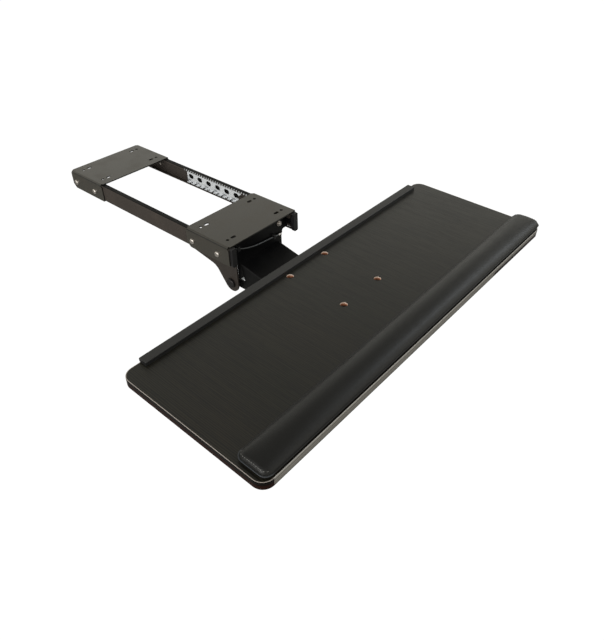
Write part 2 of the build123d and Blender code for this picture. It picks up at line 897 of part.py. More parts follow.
def tilt_bolt():
    """Axle through the yoke and the link, with a round head on the left."""
    seat = -ear_outer_x
    head = rod_x(seat - tilt_head_height, seat, tilt_axle.Y, tilt_axle.Z, tilt_head_radius)
    head = domed(head, lambda s: s.faces().sort_by(Axis.X)[0], tilt_head_height * half_dome_share)
    end = ear_outer_x + lift_nut_height + lift_axle_stub
    return head + rod_x(seat, end, tilt_axle.Y, tilt_axle.Z, axle_radius)


def tilt_washers():
    """Friction washers between the yoke's ears and the link."""
    start = link_half_width + close_fit
    washer = ring_x(start, start + tilt_washer, tilt_axle.Y, tilt_axle.Z, tilt_washer_radius)
    return group([washer, mirrored(washer)])


def stop_bar():
    """Bar that keeps things from sliding off the rear edge."""
    half = stop_bar_length / 2
    v_range = (stop_bar_v - stop_bar_depth / 2, stop_bar_v + stop_bar_depth / 2)
    bar = block((-half, half), v_range, (0, stop_bar_height))
    bar = fillet(bar.faces().sort_by(Axis.Z)[-1].edges(), stop_bar_round)
    for x in stop_screw_places:
        depth = stop_screw_bite + loose_fit
        bar -= rod_z(-cut_overrun, depth, x, stop_bar_v, stop_screw_radius + running_fit)
    return bar


def wood_screws(places, v, radius, head_radius, bite):
    """Pan-head screws driven up through the board from below."""
    screws = []
    for x in places:
        head = rod_z(board_bottom_w - small_head_height, board_bottom_w, x, v, head_radius)
        screws.append(head + rod_z(board_bottom_w, bite, x, v, radius))
    return group(screws)


def palm_base():
    """Firm base of the palm rest, set in from the pad all round."""
    length, depth = palm_length - 2 * palm_base_inset, palm_depth - 2 * palm_base_inset
    face = Pos(0, palm_v) * RectangleRounded(length, depth, palm_base_corner)
    base = along_z(face, 0, palm_base_height)
    for x in palm_screw_places:
        depth = palm_screw_bite + loose_fit
        base -= rod_z(-cut_overrun, depth, x, palm_v, palm_screw_radius + running_fit)
    return base


def palm_pad():
    """Padded cushion with a crown and drawn-in sides, lofted through rounded outlines."""
    sections = []
    half_depth = palm_depth / 2
    for height, draw_in, corner in zip(palm_height_shares, palm_draw_in_shares, palm_corner_shares):
        inset = draw_in * half_depth
        width = palm_depth - 2 * inset
        outline_face = RectangleRounded(palm_length - 2 * inset, width, corner * width)
        w = palm_base_height + loose_fit + height * palm_pad_height
        sections.append(Pos(0, palm_v, w) * outline_face)
    return loft(sections)


os.makedirs("parts", exist_ok=True)

save("front_bracket", desk_bracket(0))
save("rear_bracket", desk_bracket(bracket_pitch))
save("rail_screws", rail_screws())
for maker, name in (
    (outer_rail, "outer_rail"),
    (front_cap, "front_cap"),
    (rear_plug, "rear_plug"),
    (ball_cage, "ball_cage"),
    (cage_balls, "cage_balls"),
    (inner_rail, "inner_rail"),
):
    right = maker()
    save(f"right_{name}", right)
    save(f"left_{name}", mirrored(right))

right_arm = arm()
save("left_arm", mirrored(right_arm))
save("right_arm", right_arm - plate_bolt_hole())
save("slide_rivets", slide_rivets())
save("cross_plate", cross_plate())
save("plate_bolt", plate_bolt())
save("plate_nut", plate_nut())
save("release_cable", cable_tube(cable_radius))
save("cable_clips", cable_clips())
save("cable_ferrules", cable_ferrules())
save("lift_bolt", lift_bolt())
save("lift_nut", axle_nut(arm_x, pivot_y, pivot_z))
save("lift_spacers", lift_spacers())

save("lift_link", lift_link())
save("lift_tube", link_tube(pivot_y, pivot_z))
save("tilt_tube", link_tube(tilt_axle.Y, tilt_axle.Z))

save("tilt_bolt", tilt_bolt())
save("tilt_nut", axle_nut(ear_outer_x, tilt_axle.Y, tilt_axle.Z))
save("tilt_washers", tilt_washers())

band_ring = edge_ring()
front_half = board_width / 2 - board_corner
save("tilt_yoke", tray_plane * tilt_yoke())
save("tray_plate", tray_plane * tray_plate())
save("board_core", tray_plane * board_layer(laminate + board_bottom_w, -laminate))
save("top_laminate", tray_plane * board_layer(-laminate, 0))
save("bottom_laminate", tray_plane * board_layer(board_bottom_w, laminate + board_bottom_w))
save("front_edge_band", tray_plane * (band_ring & front_span(front_half)))
save("side_edge_band", tray_plane * (band_ring - front_span(front_half + band_joint)))
save("tray_screws", tray_plane * tray_screws())
save("tray_nuts", tray_plane * tray_nuts())
save("stop_bar", tray_plane * stop_bar())
save("palm_base", tray_plane * palm_base())
save("palm_pad", tray_plane * palm_pad())
stop_screws = wood_screws(
    stop_screw_places,
    stop_bar_v,
    stop_screw_radius,
    stop_screw_head_radius,
    stop_screw_bite,
)
palm_screws = wood_screws(
    palm_screw_places,
    palm_v,
    palm_screw_radius,
    palm_screw_head_radius,
    palm_screw_bite,
)
save("stop_screws", tray_plane * stop_screws)
save("palm_screws", tray_plane * palm_screws)
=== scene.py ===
# %% [markdown]
# # A keyboard tray that hangs under a desk
# The tray is a dark wood-grain board with a stop bar at the rear and a padded palm rest at the front.
# It hangs from a tapered link, and the link hangs from a carriage that runs on two ball slides.
# All rigid parts come from the CAD model at their true places. This lesson lights them, gives each one
# its finish, and builds what CAD draws badly or leaves out: the padding, its folded lip and its
# stitches.
# It also adds a dark sheet under the front bracket, which is painted shade that keeps two holes dark.

# %% Load the CAD model as a fixed frame
import math

import bmesh
import bpy
from mathutils import Matrix, Quaternion, Vector
from mathutils.bvhtree import BVHTree


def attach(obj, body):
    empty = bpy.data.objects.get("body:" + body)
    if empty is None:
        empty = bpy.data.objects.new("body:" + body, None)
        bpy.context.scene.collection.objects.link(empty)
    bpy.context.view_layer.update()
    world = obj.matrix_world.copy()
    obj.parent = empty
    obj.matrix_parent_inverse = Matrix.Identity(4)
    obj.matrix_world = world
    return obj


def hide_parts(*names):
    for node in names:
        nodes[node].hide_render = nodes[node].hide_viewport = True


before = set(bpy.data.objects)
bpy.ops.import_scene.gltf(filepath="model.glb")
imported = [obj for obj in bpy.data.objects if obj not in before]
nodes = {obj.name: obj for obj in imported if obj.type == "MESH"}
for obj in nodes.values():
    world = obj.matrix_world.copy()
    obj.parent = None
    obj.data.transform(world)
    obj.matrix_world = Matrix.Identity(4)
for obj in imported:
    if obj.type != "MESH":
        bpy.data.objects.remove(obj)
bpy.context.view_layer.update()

MM = 0.001

# %% [markdown]
# ## Shader nodes, written as sums
# A material is a small network of nodes, and most of its nodes only do arithmetic. Drawing each Math
# node by hand hides what the network works out. Here a socket is wrapped in a class that answers to
# + - * and /, so that a line such as `1 - mask * 0.5` adds its own nodes. Every other node comes from
# one method, which takes the node's type, its settings and its inputs.


# %% A socket that does arithmetic
class Signal:
    """What comes out of a node. Arithmetic on it adds Math nodes to the same tree."""

    def __init__(self, bench, socket):
        self.bench = bench
        self.socket = socket

    def maths(self, operation, *values):
        return self.bench.node("ShaderNodeMath", {"operation": operation}, dict(enumerate(values)))

    def __add__(self, other):
        return self.maths("ADD", self, other)

    def __sub__(self, other):
        return self.maths("SUBTRACT", self, other)

    def __rsub__(self, other):
        return self.maths("SUBTRACT", other, self)

    def __mul__(self, other):
        return self.maths("MULTIPLY", self, other)

    def __truediv__(self, other):
        return self.maths("DIVIDE", self, other)

    def __rtruediv__(self, other):
        return self.maths("DIVIDE", other, self)

    def __abs__(self):
        return self.maths("ABSOLUTE", self)

    def __neg__(self):
        return self.maths("MULTIPLY", self, -1.0)

    __radd__ = __add__
    __rmul__ = __mul__

    def larger(self, other):
        """The larger of two values, which joins two masks into one."""
        return self.maths("MAXIMUM", self, other)

    def sine(self):
        return self.maths("SINE", self)

    def wave(self, pitch):
        """A sine from -1 to 1 that repeats at an even pitch of this value."""
        return (self * (math.tau / pitch)).sine()


methods = [name.strip("_") for name, made in vars(Signal).items() if callable(made)]
print("a socket answers to:", ", ".join(methods))


# %% The bench that nodes are made on
class Bench:
    """A node tree with one method that makes any node."""

    def __init__(self, tree):
        self.tree = tree
        tree.nodes.clear()

    def node(self, kind, settings=None, inputs=None, output=0):
        made = self.tree.nodes.new(kind)
        for name, value in (settings or {}).items():
            setattr(made, name, value)
        for name, value in (inputs or {}).items():
            if isinstance(value, Signal):
                self.tree.links.new(value.socket, made.inputs[name])
            else:
                made.inputs[name].default_value = value
        return Signal(self, made.outputs[output]) if made.outputs else None


def paint(red, green, blue):
    """A colour as a picture editor shows it, from 0 to 255, as the linear colour that shaders use."""
    def linear(value):
        share = value / 255
        return share / 12.92 if share <= 0.04045 else ((share + 0.055) / 1.055) ** 2.4
    return (linear(red), linear(green), linear(blue), 1.0)


print("mid grey is", [round(v, 3) for v in paint(128, 128, 128)])

# %% [markdown]
# ## Patterns that materials share
# Patterns read Object coordinates, in metres. The CAD nodes keep their places in their meshes, so
# one grain runs on from piece to piece, and it stays on the piece when the piece moves. A Mapping
# node with unequal scales stretches noise into grain, pores or brush marks. A soft step from one value
# to another makes a mask with an even edge. Where a name below holds two values in brackets, they are
# the ends of such a step.


# %% Noise, cells and soft steps
def coordinates(bench):
    return bench.node("ShaderNodeTexCoord", output="Object")


def stretched(bench, scale, shift=(0, 0, 0)):
    """Object coordinates, scaled along each axis and shifted."""
    place = {"Vector": coordinates(bench), "Location": shift, "Scale": scale}
    return bench.node("ShaderNodeMapping", inputs=place)


def noise(bench, at, scale, detail=2.0, roughness=0.5, distortion=0.0):
    inputs = {"Vector": at, "Scale": scale, "Detail": detail}
    inputs |= {"Roughness": roughness, "Distortion": distortion}
    return bench.node("ShaderNodeTexNoise", inputs=inputs)


def cells(bench, at, scale, feature="F1"):
    inputs = {"Vector": at, "Scale": scale}
    return bench.node("ShaderNodeTexVoronoi", {"feature": feature}, inputs, "Distance")


def step(bench, value, low, high):
    """0 below low, 1 above high, and smooth between them; falling where low is the larger value."""
    ends = {"Value": value, "From Min": low, "From Max": high}
    return bench.node("ShaderNodeMapRange", {"interpolation_type": "SMOOTHSTEP"}, ends)


def mix(bench, share, first, second):
    """A colour between two colours."""
    inputs = {0: share, 6: first, 7: second}
    return bench.node("ShaderNodeMix", {"data_type": "RGBA"}, inputs, output=2)


def facing(bench, axis):
    """How far the surface faces along one axis of the object, from -1 to 1."""
    normal = bench.node("ShaderNodeTexCoord", output="Normal")
    return bench.node("ShaderNodeSeparateXYZ", inputs={0: normal}, output=axis)


def place_along(bench, axis):
    """The object coordinate along one axis."""
    return bench.node("ShaderNodeSeparateXYZ", inputs={0: coordinates(bench)}, output=axis)


print("patterns:", ", ".join(pattern.__name__ for pattern in (noise, cells, step, facing, place_along)))

# %% [markdown]
# ## How a finish is put together
# A finish is what the maker puts on a piece last: paint, plating, film. Each one could be a network of
# its own, but they all end alike, in a Principled shader and mostly a Bump node. So one function ends
# them all, and each finish only says what varies over it and which constants its shader takes.


# %% A finish from its parts
def finish(name, make, **constants):
    """A material. make(bench) gives what varies over it, and constants are set on the shader itself."""
    material = bpy.data.materials.new(name)
    material.use_nodes = True
    bench = Bench(material.node_tree)
    parts = make(bench)
    height = parts.pop("height", None)
    if height is not None:
        strength = parts.pop("height_strength", 1.0)
        relief = {"Height": height, "Distance": parts.pop("depth"), "Strength": strength}
        parts["Normal"] = bench.node("ShaderNodeBump", inputs=relief)
    words = {key.replace("_", " "): value for key, value in constants.items()}
    shader = bench.node("ShaderNodeBsdfPrincipled", inputs={**words, **parts})
    bench.node("ShaderNodeOutputMaterial", inputs={"Surface": shader})
    print(name, "is made of", len(material.node_tree.nodes), "shader nodes")
    return material


def dress(material, *names):
    """Give CAD nodes a finish."""
    for name in names:
        slots = nodes[name].data.materials
        slots.clear()
        slots.append(material)
    print(material.name, "on", ", ".join(names))


# %% [markdown]
# ## The camera
# The photograph looks down on the tray from the front left. The camera's place, aim and small roll
# were solved from the corners of the board and the brackets. The sensor's long side is the picture's
# height, 640 of 604 x 640 pixels, so the lens follows from the solved focal length in pixels.

# %% Camera
PICTURE_HEIGHT = 640
FOCAL_PIXELS = 603.45
SENSOR = 36.0
CAMERA_PLACE = Vector((-573.62, -641.50, 487.24)) * MM
CAMERA_AIM = Vector((-97.15, -216.68, 5.05)) * MM
CAMERA_ROLL = math.radians(-1.278)
SHIFT_X, SHIFT_Y = -0.0024, -0.0387
FAR_CLIP = 60
camera_data = bpy.data.cameras.new("camera")
camera = bpy.data.objects.new("camera", camera_data)
bpy.context.scene.collection.objects.link(camera)
bpy.context.scene.camera = camera
roll = Quaternion((0, 0, 1), CAMERA_ROLL)
camera.rotation_mode = "QUATERNION"
camera.location = CAMERA_PLACE
camera.rotation_quaternion = (CAMERA_AIM - CAMERA_PLACE).to_track_quat("-Z", "Y") @ roll
camera_data.sensor_width = SENSOR
camera_data.lens = FOCAL_PIXELS / PICTURE_HEIGHT * SENSOR
camera_data.shift_x = SHIFT_X
camera_data.shift_y = SHIFT_Y
camera_data.clip_end = FAR_CLIP
print("lens", round(camera_data.lens, 2), "mm")

# %% [markdown]
# ## The room
# Black furniture shows its shape by what it reflects, so the room around it matters more than the
# lamps. The camera sees plain white. Every other ray sees a studio: walls that are bright near the
# horizon and dimmer higher up, and a ceiling that is dimmer still. That is why flat tops get lighter
# with distance, where they are seen at a flatter angle.


# %% World
def from_camera(bench):
    """1 for what the camera sees directly."""
    return bench.node("ShaderNodeLightPath", output="Is Camera Ray")


WALL_LIGHT = 0.95
SLOPE_LIGHT = 0.76
CEILING_LIGHT = 0.38
SLOPE_STARTS = (0.25, 0.48)
CEILING_STARTS = (0.5, 0.66)
ROOM_TINT = (1.0, 0.985, 0.9, 1.0)
world = bpy.data.worlds.new("white_room")
world.use_nodes = True
bpy.context.scene.world = world
bench = Bench(world.node_tree)
direction = bench.node("ShaderNodeTexCoord", output="Generated")
upward = bench.node("ShaderNodeSeparateXYZ", inputs={0: direction}, output="Z")
walls = WALL_LIGHT - step(bench, upward, *SLOPE_STARTS) * (WALL_LIGHT - SLOPE_LIGHT)
studio = walls - step(bench, upward, *CEILING_STARTS) * (SLOPE_LIGHT - CEILING_LIGHT)
direct = from_camera(bench)
sky_strength = direct + (1 - direct) * studio
sky_tint = mix(bench, direct, ROOM_TINT, (1, 1, 1, 1))
sky = bench.node("ShaderNodeBackground", inputs={"Color": sky_tint, "Strength": sky_strength})
bench.node("ShaderNodeOutputWorld", inputs={"Surface": sky})
bpy.context.scene.view_settings.view_transform = "Standard"
print("walls", WALL_LIGHT, "ceiling", CEILING_LIGHT)

# %% [markdown]
# ## The floor
# The tray hangs at desk height, so the floor lies 0.72 m below the desk. A white floor would throw too
# much light up at the tray, and a grey one would stain the picture's white. So it is grey for light
# and mostly glowing white for the camera, where it still keeps a trace of shade. From below it is
# clear, so that the tray's underside can be looked at.

# %% Floor
FLOOR_Z = -0.72
FLOOR_REACH = 30
FLOOR_GLOW = 1.3
GLOW_SHARE = 0.75
bm = bmesh.new()
floor_level = Matrix.Translation((0, 0, FLOOR_Z))
bmesh.ops.create_grid(bm, x_segments=1, y_segments=1, size=FLOOR_REACH, matrix=floor_level)
floor_mesh = bpy.data.meshes.new("floor")
bm.to_mesh(floor_mesh)
bm.free()
floor = bpy.data.objects.new("floor", floor_mesh)
bpy.context.scene.collection.objects.link(floor)

floor_material = bpy.data.materials.new("pale_floor")
floor_material.use_nodes = True
bench = Bench(floor_material.node_tree)
grey = bench.node("ShaderNodeBsdfDiffuse", inputs={"Color": (0.4, 0.4, 0.4, 1)})
glow = bench.node("ShaderNodeEmission", inputs={"Color": (1, 1, 1, 1), "Strength": FLOOR_GLOW})
glow_part = from_camera(bench) * GLOW_SHARE
shown = bench.node("ShaderNodeMixShader", inputs={0: glow_part, 1: grey, 2: glow})
from_below = bench.node("ShaderNodeNewGeometry", output="Backfacing")
clear = bench.node("ShaderNodeBsdfTransparent")
one_sided = bench.node("ShaderNodeMixShader", inputs={0: from_below, 1: shown, 2: clear})
bench.node("ShaderNodeOutputMaterial", inputs={"Surface": one_sided})
floor_mesh.materials.append(floor_material)
print("floor at", FLOOR_Z, "m")

# %% [markdown]
# ## Soft lamps
# The room alone would leave the sheet metal flat. A broad lamp at the left lights the flanges that
# face the camera, a weak one from above shapes the palm rest, and a cool window at the right front
# gives edges there a faint blue. Large area lamps are used because their reflections have soft edges.


# %% Lamps
def soft_lamp(name, place, aim, size, power, tint=(1, 1, 1)):
    """A square area lamp that faces a point."""
    data = bpy.data.lights.new(name, "AREA")
    data.size = size
    data.energy = power
    data.color = tint
    lamp = bpy.data.objects.new(name, data)
    lamp.location = place
    lamp.rotation_mode = "QUATERNION"
    lamp.rotation_quaternion = (Vector(aim) - Vector(place)).to_track_quat("-Z", "Y")
    bpy.context.scene.collection.objects.link(lamp)


WINDOW_TINT = (0.86, 0.93, 1.0)
soft_lamp("left_lamp", place=(-1.9, -0.3, 0.7), aim=(0, 0, -0.05), size=1.0, power=16)
soft_lamp("top_lamp", place=(-0.7, -1.3, 1.6), aim=(0, -0.1, 0), size=1.2, power=1.5)
soft_lamp("window", place=(1.7, -1.2, 1.15), aim=(0.1, -0.2, 0), size=0.8, power=6, tint=WINDOW_TINT)

# %% [markdown]
# ## Painted steel
# Brackets, slides, arms and link are folded sheet steel under dark paint. The brackets are satin and
# mirror the room at flat angles; the slides are more matt. The paint's fine orange peel is noise of
# under a millimetre in the bump, and broader noise makes the gloss and tint uneven, as handling does.
# The link and the plates around it take a near-black copy of the paint, as painted shade. Painted shade
# along folds, cut edges and the slides' tops and channels, and painted glints on the slides' lips, lie
# at known places, so masks from coordinates draw them.

# %% Painted shade and painted glints on a slide
SHADED_TOP = (-3.3 * MM, -2.8 * MM)
CAGE_RUN_REAR = (224 * MM, 218 * MM)
CHANNEL_SIDES = (74.7 * MM, 74.3 * MM)
CHANNEL_SHADE_FOOT = (-25 * MM, -23 * MM)
CHANNEL_SHADE_TOP = (-12 * MM, -14 * MM)
LIP_SIDES = (67.2 * MM, 66.8 * MM)
LIP_FOOT = (-8 * MM, -7 * MM)
LIP_FRONT = (20 * MM, 22 * MM)
GLINT_AND_SLOT_PITCH = 6.1 * MM


def slide_shade_and_glints(bench, shade):
    """Painted shade on the top edge and in the channel where the ball cage runs, and painted glints
    along the lip's edge.
    """
    across, along, up = (place_along(bench, axis) for axis in "XYZ")
    # painted shade: the rail's top edge and the inside of its channel are darker
    top_shade = step(bench, up, *SHADED_TOP)
    run = step(bench, along, *CAGE_RUN_REAR)
    channel_shade = run * step(bench, abs(across), *CHANNEL_SIDES)
    channel_shade = channel_shade * step(bench, up, *CHANNEL_SHADE_FOOT) * step(bench, up, *CHANNEL_SHADE_TOP)
    shade = mix(bench, top_shade.larger(channel_shade), shade, paint(12, 11, 11))
    # painted glints: pale flecks at an even pitch on the lip's sideways faces
    lip = step(bench, abs(across), *LIP_SIDES) * step(bench, up, *LIP_FOOT)
    lip = lip * step(bench, abs(facing(bench, "X")), 0.3, 0.6) * run * step(bench, along, *LIP_FRONT)
    painted_glints = lip * step(bench, along.wave(GLINT_AND_SLOT_PITCH), 0.1, 0.5)
    return mix(bench, painted_glints * 0.8, shade, paint(196, 200, 204))


print("teeth every", round(GLINT_AND_SLOT_PITCH / MM, 1), "mm on the slides' lips")

# %% Painted shade on a folded plate
FOLD_SIDES = (76.2 * MM, 76.6 * MM)
FOLD_FOOT = (-3.6 * MM, -2.8 * MM)
FOLD_TOP = (-0.9 * MM, -1.3 * MM)


def fold_and_edge_shade(bench, shade):
    """Painted shade along the folds at both sides and on the cut edges that face the front."""
    fold_shade = step(bench, abs(place_along(bench, "X")), *FOLD_SIDES)
    up = place_along(bench, "Z")
    fold_shade = fold_shade * step(bench, up, *FOLD_FOOT) * step(bench, up, *FOLD_TOP)
    cut_edge_shade = step(bench, -facing(bench, "Y"), 0.5, 0.8)
    # painted shade: darker folds and front-facing cut edges
    return mix(bench, fold_shade.larger(cut_edge_shade) * 0.85, shade, paint(8, 8, 8))


print("fold lines from", round(FOLD_SIDES[0] / MM, 1), "mm out")

# %% Paint on steel
PEEL_DEPTH = 0.05 * MM


def painted_steel(tint, worn_tint, gloss, painted_light=None):
    """Patterns of a painted sheet: orange peel, uneven gloss, specks and rubbed patches. Its last
    argument, when given, is a function that adds painted shade and painted glints at known places."""
    def make(bench):
        at = coordinates(bench)
        clouds = noise(bench, at, 26, detail=4, roughness=0.6)
        specks = step(bench, noise(bench, at, 3400, detail=1), 0.72, 0.78)
        highlight_tint = step(bench, clouds, 0.42, 0.72)
        shade = mix(bench, highlight_tint * 0.7 + specks * 0.3, tint, worn_tint)
        return {
            "Base Color": painted_light(bench, shade) if painted_light else shade,
            "Roughness": highlight_tint * 0.1 + specks * 0.2 + gloss,
            "height": noise(bench, at, 1400, detail=3),
            "depth": PEEL_DEPTH,
            "height_strength": 0.6,
        }
    return make


bracket_look = painted_steel(paint(60, 57, 51), paint(66, 61, 54), 0.3, fold_and_edge_shade)
rail_look = painted_steel(paint(68, 62, 58), paint(76, 69, 64), 0.55, slide_shade_and_glints)
arm_look = painted_steel(paint(54, 48, 44), paint(60, 53, 48), 0.42)
# a near-black copy of the arms' paint: painted shade for the parts deep under the bracket
shaded_link_look = painted_steel(paint(3, 3, 4), paint(7, 7, 8), 0.42)
bracket_paint = finish("bracket_paint", bracket_look)
rail_paint = finish("rail_paint", rail_look, Specular_IOR_Level=0.15)
arm_paint = finish("arm_paint", arm_look, Specular_IOR_Level=0.35)
link_paint = finish("link_paint", shaded_link_look, Specular_IOR_Level=0.2)
dress(bracket_paint, "front_bracket", "rear_bracket")
dress(rail_paint, "right_outer_rail", "left_outer_rail", "right_inner_rail", "left_inner_rail")
dress(arm_paint, "left_arm", "right_arm")
dress(link_paint, "cross_plate", "lift_link", "tilt_yoke", "tray_plate")

# %% [markdown]
# ## Zinc and bare steel
# Zinc plate is a metal with a faint blue and a soft, cloudy mirror; rolled strip shows brush marks
# along its length. The domed screws are warmer and duller, as yellowed plating is, and the balls are
# polished. All of them are full metals, and only tint, clouds and gloss tell them apart.


# %% Zinc plate, screws and balls
def zinc_plate(bench):
    clouds = noise(bench, coordinates(bench), 420, detail=3)
    brush = noise(bench, stretched(bench, (1, 0.03, 1)), 5200, detail=2)
    return {
        "Base Color": mix(bench, clouds, paint(222, 226, 230), paint(246, 248, 250)),
        "Roughness": clouds * 0.16 + brush * 0.1 + 0.2,
        "height": brush,
        "depth": 0.02 * MM,
        "height_strength": 0.5,
    }


def screw_zinc(bench):
    clouds = noise(bench, coordinates(bench), 900, detail=3)
    return {
        "Base Color": mix(bench, clouds, paint(186, 178, 172), paint(232, 226, 220)),
        "Roughness": clouds * 0.16 + 0.24,
    }


def polished_steel(bench):
    return {"Roughness": noise(bench, coordinates(bench), 900) * 0.1 + 0.06}


zinc = finish("zinc", zinc_plate, Metallic=1.0)
warm_zinc = finish("screw_zinc", screw_zinc, Metallic=1.0)
ball_steel = finish("ball_steel", polished_steel, Metallic=1.0, Base_Color=paint(214, 216, 220))
dress(zinc, "slide_rivets", "lift_tube", "tilt_tube", "tray_nuts")
dress(warm_zinc, "rail_screws", "plate_bolt", "plate_nut", "cable_ferrules")
dress(warm_zinc, "stop_screws", "palm_screws")
dress(ball_steel, "right_cage_balls", "left_cage_balls")

# %% [markdown]
# ## The ball cages
# A cage is a strip of thin zinc plate with a window for each ball. Its windows are cut in the CAD
# model. The slots between its fingers, and the dimples and notches along its foot, are only as large
# as a few pixels, so waves along the strip draw them, each at the pitch of what it stamps: the slots
# and notches as painted shade, nearly black, and the dimples as a bump with painted shade in them.

# %% Stamped strip
FINGER_FOOT = (-9.3 * MM, -8.9 * MM)
NOTCH_PITCH = 12.2 * MM
NOTCH_TOP = (-28.6 * MM, -29.0 * MM)
DIMPLE_PITCH = 24.4 * MM
DIMPLE_START = 8.2 * MM
DIMPLE_LEVEL = -26.2 * MM
DIMPLE_HEIGHT = 2.2 * MM


def cage_strip(bench):
    """Zinc strip with finger slots along its upper edge, dimples and notches along the lower one, drawn
    as painted shade and a bump.
    """
    along, up = place_along(bench, "Y"), place_along(bench, "Z")
    plate = noise(bench, stretched(bench, (1, 0.05, 1)), 900, detail=3)
    slots = step(bench, along.wave(GLINT_AND_SLOT_PITCH), -0.1, 0.3) * step(bench, up, *FINGER_FOOT)
    notches = step(bench, along.wave(NOTCH_PITCH), 0.3, 0.6) * step(bench, up, *NOTCH_TOP)
    offset = (up - DIMPLE_LEVEL) / DIMPLE_HEIGHT
    dimple = (along + DIMPLE_START).wave(DIMPLE_PITCH) - offset * offset
    dimples_and_shade = step(bench, dimple, 0.1, 0.4)
    shade = mix(bench, plate, paint(228, 232, 238), paint(250, 252, 255))
    # painted shade: darker in the dimples, nearly black in the slots and notches
    shade = mix(bench, dimples_and_shade * 0.7, shade, paint(120, 124, 130))
    return {
        "Base Color": mix(bench, slots.larger(notches), shade, paint(16, 16, 17)),
        "Roughness": plate * 0.15 + 0.3,
        "height": -dimples_and_shade,
        "depth": 0.3 * MM,
        "height_strength": 0.6,
    }


cage_zinc = finish("cage_strip", cage_strip, Metallic=0.2)
dress(cage_zinc, "right_ball_cage", "left_ball_cage")

# %% [markdown]
# ## Black hardware
# Axles and nuts are steel with a black oxide, which is thin, a little brown and uneven. Slide ends,
# spacers and clips are moulded in black plastic with a fine spark-eroded grain, for which Voronoi
# cells serve better than noise because each grain has an edge.


# %% Black steel and mouldings
def black_steel(bench):
    clouds = noise(bench, coordinates(bench), 260, detail=4)
    return {
        "Base Color": mix(bench, clouds, paint(32, 32, 34), paint(74, 71, 70)),
        "Roughness": clouds * 0.2 + 0.28,
        "height": clouds,
        "depth": 0.05 * MM,
    }


def black_moulding(bench):
    grain = cells(bench, coordinates(bench), 1500)
    return {
        "Base Color": mix(bench, grain, paint(20, 20, 21), paint(34, 33, 34)),
        "Roughness": grain * 0.2 + 0.4,
        "height": grain,
        "depth": 0.05 * MM,
    }


black_oxide = finish("black_steel", black_steel, Metallic=0.8)
moulding = finish("black_moulding", black_moulding, Specular_IOR_Level=0.4)
dress(black_oxide, "lift_bolt", "lift_nut", "tilt_bolt", "tilt_nut", "tray_screws")
dress(moulding, "right_front_cap", "left_front_cap", "right_rear_plug", "left_rear_plug")
dress(moulding, "cable_clips", "lift_spacers", "tilt_washers", "palm_base")

# %% [markdown]
# ## The release cable
# The thin curved line in front of the cross plate is a wire in a glossy sheath. The sheath could be
# modelled as a coil, but it is a millimetre or two thick, so a fine wave along X in the bump gives its
# ribs, and a coat gives the gloss of extruded plastic.

# %% Cable sheath
RIB_PITCH = 1.2083 * MM


def sheath(bench):
    at = coordinates(bench)
    return {
        "Base Color": mix(bench, noise(bench, at, 700), paint(30, 32, 34), paint(48, 51, 53)),
        "Roughness": noise(bench, at, 300) * 0.15 + 0.22,
        "height": place_along(bench, "X").wave(RIB_PITCH),
        "depth": 0.04 * MM,
        "height_strength": 0.4,
    }


cable_sheath = finish("cable_sheath", sheath, Coat_Weight=0.4, Coat_Roughness=0.15)
dress(cable_sheath, "release_cable")

# %% [markdown]
# ## The board
# The board is fibreboard between two dark laminates with a printed, pressed wood grain that runs from
# front to rear. It is tilted a little, so marks that follow its thickness need the height over its own
# top face. A second coordinate system would do it, but two products of X and Z are simpler.

# %% The board's own axes
BOARD_Y, BOARD_Z = -124.7, -24.2
BOARD_TILT = math.radians(1.6)
board_place = Matrix.Translation(Vector((0, BOARD_Y, BOARD_Z)) * MM)
board_matrix = board_place @ Matrix.Rotation(BOARD_TILT, 4, "X")
to_board = board_matrix.inverted()


def board_height(bench):
    """Height over the board's top face, in millimetres, and negative below it."""
    up = place_along(bench, "Z") * (math.cos(BOARD_TILT) / MM)
    back = place_along(bench, "Y") * (math.sin(BOARD_TILT) / MM)
    start = BOARD_Y * math.sin(BOARD_TILT) - BOARD_Z * math.cos(BOARD_TILT)
    return up - back + start


print("board tilt", round(math.degrees(BOARD_TILT), 2), "degrees")

# %% [markdown]
# ## Wood-grain laminate
# Such a film shows dense dark lines, short pores and a slow drift of tone. One noise can't give all
# three, so three noises are stretched along the board by different amounts, and a sine across it, made
# to waver by a fourth, gives the even ripple that the photograph shows in the middle of the board.

# %% Laminate
RIPPLE_PITCH = 2.4 * MM
RIPPLE_WAVER = 26


def wood_grain(bench):
    waver = noise(bench, stretched(bench, (1, 0.06, 1)), 55, detail=2)
    turns = place_along(bench, "X") * (math.tau / RIPPLE_PITCH) + waver * RIPPLE_WAVER
    ripple = turns.sine() * 0.5 + 0.5
    lines = noise(bench, stretched(bench, (1, 0.014, 1)), 560, detail=2, distortion=0.1)
    pores = noise(bench, stretched(bench, (1, 0.03, 1), shift=(0.3, 0, 0)), 1500, detail=2)
    figure = noise(bench, stretched(bench, (1, 0.1, 1)), 30, detail=3)
    patches = noise(bench, coordinates(bench), 9, detail=2)
    line = step(bench, lines, 0.4, 0.6)
    pore = step(bench, pores, 0.55, 0.7)
    grain = ripple * (0.25 + figure * 0.7) + line * 0.3 - pore * 0.3
    dark = mix(bench, patches, paint(3, 3, 2), paint(6, 4, 2))
    light = mix(bench, patches, paint(30, 31, 23), paint(36, 31, 22))
    return {
        "Base Color": mix(bench, step(bench, grain, 0.05, 0.85), dark, light),
        "Roughness": pore * 0.1 - line * 0.06 + patches * 0.08 + 0.36,
        "height": line * 0.5 - pore * 0.5,
        "depth": 0.05 * MM,
        "height_strength": 0.5,
    }


laminate = finish("laminate", wood_grain)
dress(laminate, "top_laminate", "bottom_laminate")

